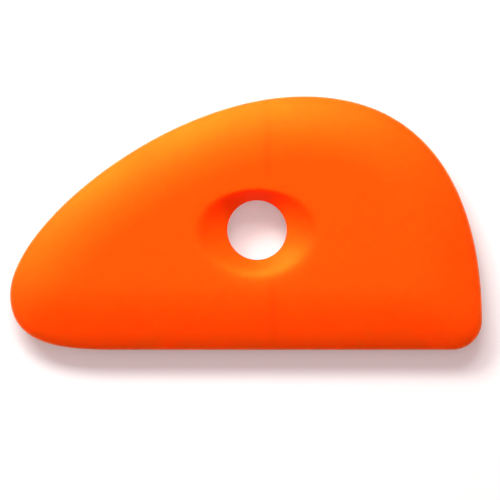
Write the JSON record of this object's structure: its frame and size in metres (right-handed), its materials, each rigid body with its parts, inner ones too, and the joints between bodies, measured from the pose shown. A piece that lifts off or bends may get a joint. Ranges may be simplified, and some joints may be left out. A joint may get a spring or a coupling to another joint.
{
  "type": "pottery rib",
  "caption": "Soft one-piece silicone pottery rib with a straight working edge, a curved back, thin tapered edges all round and a finger hole in an oval dish.",
  "frame": {"origin": "on the axis of the finger hole, at mid thickness", "axes": "+X along the straight working edge from the nose to the heel, +Y from the working edge to the crest, +Z out of the front face"},
  "size_m": [0.108, 0.058, 0.0086],
  "materials": {
    "silicone": "satin"
  },
  "bodies": {
    "root": {"rib_body": "silicone"}
  },
  "joints": []
}
